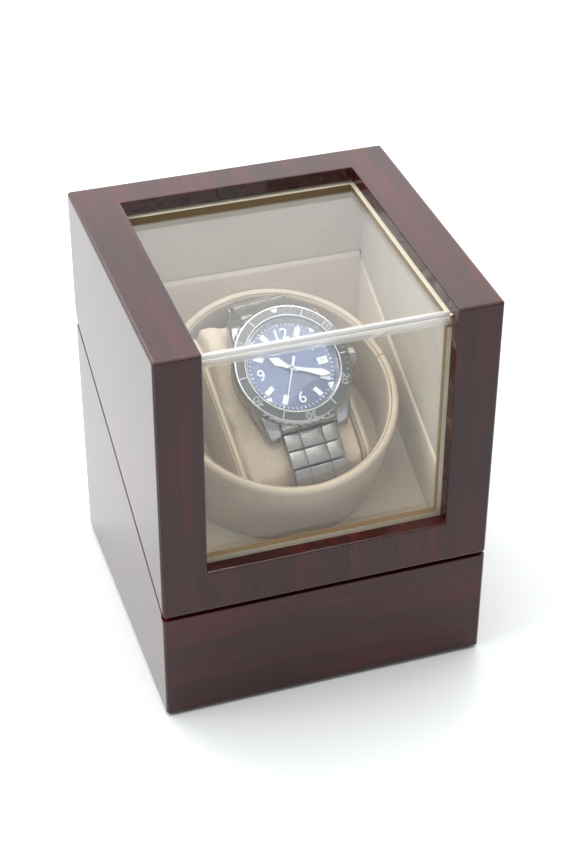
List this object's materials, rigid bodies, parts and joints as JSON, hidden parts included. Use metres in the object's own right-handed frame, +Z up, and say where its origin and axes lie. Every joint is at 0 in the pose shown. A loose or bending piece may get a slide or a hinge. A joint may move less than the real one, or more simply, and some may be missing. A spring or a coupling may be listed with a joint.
{
  "type": "watch winder box",
  "caption": "Lacquered wooden watch winder box with a glazed sloping lid over a geared turning cup that holds a watch on a suede pillow.",
  "frame": {"origin": "centre of the box's footprint, on the surface that it stands on", "axes": "+X to the right seen from the front, +Y towards the hinged back, +Z up"},
  "size_m": [0.125, 0.122, 0.158],
  "materials": {
    "lacquered_wood": "mirror-gloss lacquer over red-brown wood",
    "floor_board": "felt-covered board",
    "rubber": "matt",
    "suede": "short-nap suede cloth",
    "window_board": "fibre board covered in suede cloth, with painted edges",
    "plain_wood": "planed",
    "steel": "bright zinc",
    "brass": "polished",
    "circuit_board": "solder-masked board",
    "black_plastic": "fine texture",
    "gear_plastic": "moulded acetal",
    "clear_pane": "clear bent acrylic",
    "crystal": "clear",
    "watch_steel": "polished and brushed",
    "band_steel": "brushed",
    "dial_blue": "sunray lacquer",
    "hand_white": "white-filled steel"
  },
  "bodies": {
    "base": {"base_floor": "floor_board", "base_front": "lacquered_wood", "base_back": "lacquered_wood", "base_left_side": "lacquered_wood", "base_right_side": "lacquered_wood", "base_feet": "rubber", "collar_front": "suede", "collar_back": "suede", "collar_left": "suede", "collar_right": "suede", "deck_panel": "suede", "deck_cleats": "plain_wood", "gearbox_top_plate": "steel", "gearbox_bottom_plate": "steel", "gearbox_pillars": "steel", "gear_arbors": "steel", "motor_can": "steel", "spindle_bushes": "brass", "control_board": "circuit_board", "power_jack": "black_plastic", "rear_plate": "black_plastic", "switch_housings": "black_plastic", "hinge_base_leaves": "brass", "hinge_pins": "steel", "base_screws": "steel"},
    "lid": {"lid_left_side": "lacquered_wood", "lid_right_side": "lacquered_wood", "lid_top_frame": "lacquered_wood", "lid_front_frame": "lacquered_wood", "lid_back_panel": "lacquered_wood", "window_pane": "clear_pane", "lid_lining_left": "suede", "lid_lining_right": "suede", "lid_lining_back": "suede", "lid_lining_top": "window_board", "lid_lining_front": "window_board", "hinge_lid_leaves": "brass", "lid_screws": "steel"},
    "cup": {"cup_wall": "suede", "cup_rim_pad": "suede", "cup_floor": "suede", "drive_hub": "black_plastic", "spindle": "steel", "spindle_gear": "gear_plastic"},
    "second_gear": {"second_gear": "gear_plastic"},
    "first_gear": {"first_gear": "gear_plastic"},
    "motor_pinion": {"motor_pinion": "brass"},
    "pillow": {"pillow_cushion": "suede", "pillow_end_plates": "suede", "watch_case": "watch_steel", "watch_crystal": "crystal", "watch_dial": "dial_blue", "watch_bracelet": "band_steel"},
    "bezel": {"watch_bezel": "watch_steel"},
    "minute_hand": {"watch_minute_hand": "hand_white"},
    "hour_hand": {"watch_hour_hand": "hand_white"},
    "seconds_hand": {"watch_seconds_hand": "hand_white"},
    "crown": {"watch_crown": "watch_steel"},
    "direction_switch": {"direction_switch_knob": "black_plastic"},
    "program_switch": {"program_switch_knob": "black_plastic"}
  },
  "joints": [
    {"name": "lid_hinge", "type": "hinge", "parent": "base", "child": "lid", "pos_m": [0, 0.0592, 0.10235], "axis": [-1, 0, 0], "range_deg": [0, 95]},
    {"name": "cup_spin", "type": "hinge", "parent": "base", "child": "cup", "pos_m": [0, 0.00392, 0.07727], "axis": [0, -0.411, 0.9116], "continuous": true},
    {"name": "second_gear_spin", "type": "hinge", "parent": "base", "child": "second_gear", "pos_m": [-0.02, 0.01378, 0.05539], "axis": [0, -0.411, 0.9116], "continuous": true},
    {"name": "first_gear_spin", "type": "hinge", "parent": "base", "child": "first_gear", "pos_m": [-0.01384, -0.00164, 0.04844], "axis": [0, -0.411, 0.9116], "continuous": true},
    {"name": "motor_spin", "type": "hinge", "parent": "base", "child": "motor_pinion", "pos_m": [0.00416, 0.00001, 0.04479], "axis": [0, -0.411, 0.9116], "continuous": true},
    {"name": "pillow_pull", "type": "slide", "parent": "cup", "child": "pillow", "axis": [0, -0.411, 0.9116], "range_m": [0, 0.018]},
    {"name": "bezel_turn", "type": "hinge", "parent": "pillow", "child": "bezel", "pos_m": [0.00321, -0.00918, 0.11189], "axis": [0.0177, -0.5866, 0.8097], "continuous": true},
    {"name": "minute_hand_turn", "type": "hinge", "parent": "pillow", "child": "minute_hand", "pos_m": [0.00316, -0.00742, 0.10946], "axis": [0.0177, -0.5866, 0.8097], "continuous": true},
    {"name": "hour_hand_turn", "type": "hinge", "parent": "pillow", "child": "hour_hand", "pos_m": [0.00316, -0.00742, 0.10946], "axis": [0.0177, -0.5866, 0.8097], "continuous": true},
    {"name": "seconds_hand_turn", "type": "hinge", "parent": "pillow", "child": "seconds_hand", "pos_m": [0.00316, -0.00742, 0.10946], "axis": [0.0177, -0.5866, 0.8097], "continuous": true},
    {"name": "crown_turn", "type": "hinge", "parent": "pillow", "child": "crown", "pos_m": [0.02501, -0.00338, 0.10709], "axis": [0.9962, 0.0795, 0.0358], "continuous": true},
    {"name": "direction_slide", "type": "slide", "parent": "base", "child": "direction_switch", "axis": [1, 0, 0], "range_m": [-0.002, 0.002]},
    {"name": "program_slide", "type": "slide", "parent": "base", "child": "program_switch", "axis": [1, 0, 0], "range_m": [-0.002, 0.002]}
  ],
  "couplings": [
    {"joint": "second_gear_spin", "follows": "cup_spin", "ratio": -4},
    {"joint": "first_gear_spin", "follows": "cup_spin", "ratio": 14},
    {"joint": "motor_spin", "follows": "cup_spin", "ratio": -49},
    {"joint": "hour_hand_turn", "follows": "minute_hand_turn", "ratio": 0.083333},
    {"joint": "seconds_hand_turn", "follows": "minute_hand_turn", "ratio": 60}
  ]
}
